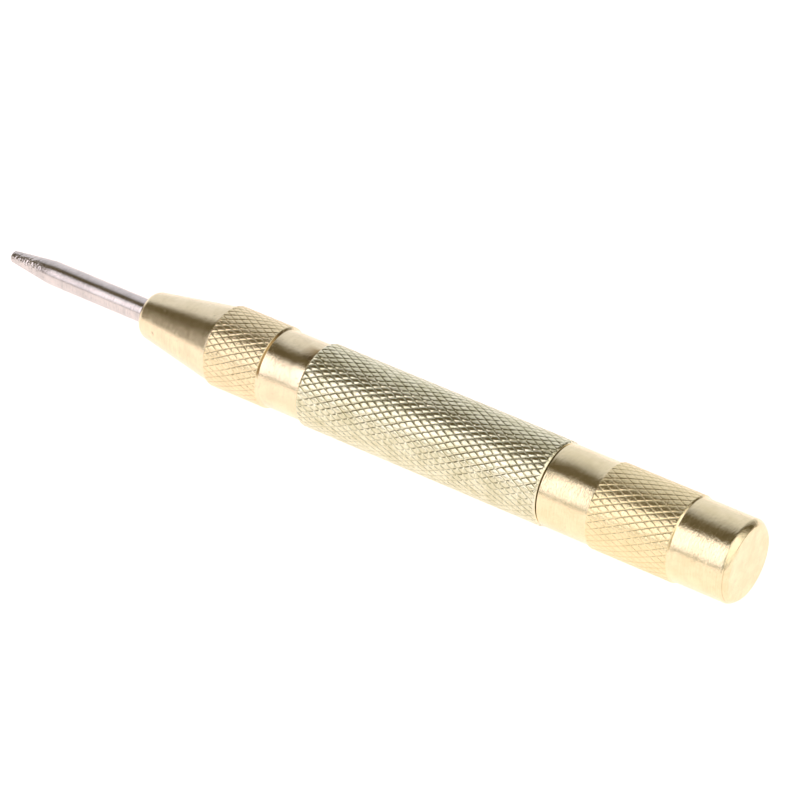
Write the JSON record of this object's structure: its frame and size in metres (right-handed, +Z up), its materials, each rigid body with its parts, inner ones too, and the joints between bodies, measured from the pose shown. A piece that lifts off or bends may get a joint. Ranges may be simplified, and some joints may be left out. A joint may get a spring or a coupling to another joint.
{
  "type": "automatic center punch",
  "caption": "Spring-loaded pen-shaped center punch with a steel point, a conical brass nose, a knurled grip and a turnable knurled end cap.",
  "frame": {"origin": "on the surface the tool lies on, below the middle of its length", "axes": "+X along the tool from the striking tip to the end cap, +Z up, lying on its side"},
  "size_m": [0.13, 0.013, 0.013],
  "materials": {
    "tool_steel": "hardened steel, ground, satin",
    "gold_brass": "turned and polished golden brass, with a knurled ring",
    "pale_brass": "pale greenish brass, knurled all round",
    "cap_brass": "turned and polished golden brass, with a knurled ring",
    "dark_steel": "hardened dark steel",
    "hammer_steel": "turned steel",
    "return_spring_steel": "drawn spring wire",
    "spring_steel": "drawn spring wire",
    "seat_steel": "turned steel"
  },
  "bodies": {
    "handle": {"nose_cap": "gold_brass", "grip_body": "pale_brass", "return_spring": "return_spring_steel", "main_spring": "spring_steel"},
    "point": {"punch_point": "tool_steel"},
    "pin": {"trip_pin": "dark_steel"},
    "hammer_block": {"hammer": "hammer_steel"},
    "seat": {"spring_seat": "seat_steel"},
    "cap": {"end_cap": "cap_brass"}
  },
  "joints": [
    {"name": "point_plunge", "type": "slide", "parent": "handle", "child": "point", "axis": [1, 0, 0], "range_m": [0, 0.01], "stiffness_N_per_m": 500, "springref_m": -0.002, "deforming": ["return_spring"]},
    {"name": "pin_tilt", "type": "hinge", "parent": "point", "child": "pin", "pos_m": [-0.0216, 0, 0.00649], "axis": [0, 1, 0], "range_deg": [0, 2.8]},
    {"name": "hammer_slide", "type": "slide", "parent": "handle", "child": "hammer_block", "axis": [1, 0, 0], "range_m": [0, 0.01], "deforming": ["main_spring"]},
    {"name": "cap_feed", "type": "slide", "parent": "handle", "child": "seat", "axis": [1, 0, 0], "range_m": [0, 0.005]},
    {"name": "cap_turn", "type": "hinge", "parent": "seat", "child": "cap", "pos_m": [0.03435, 0, 0.00649], "axis": [1, 0, 0], "range_deg": [0, 1800]}
  ],
  "couplings": [
    {"joint": "pin_tilt", "follows": "point_plunge", "rad_per_m": 4.886},
    {"joint": "hammer_slide", "follows": "point_plunge", "ratio": 1},
    {"joint": "cap_feed", "follows": "cap_turn", "m_per_rad": 0.00015915}
  ]
}
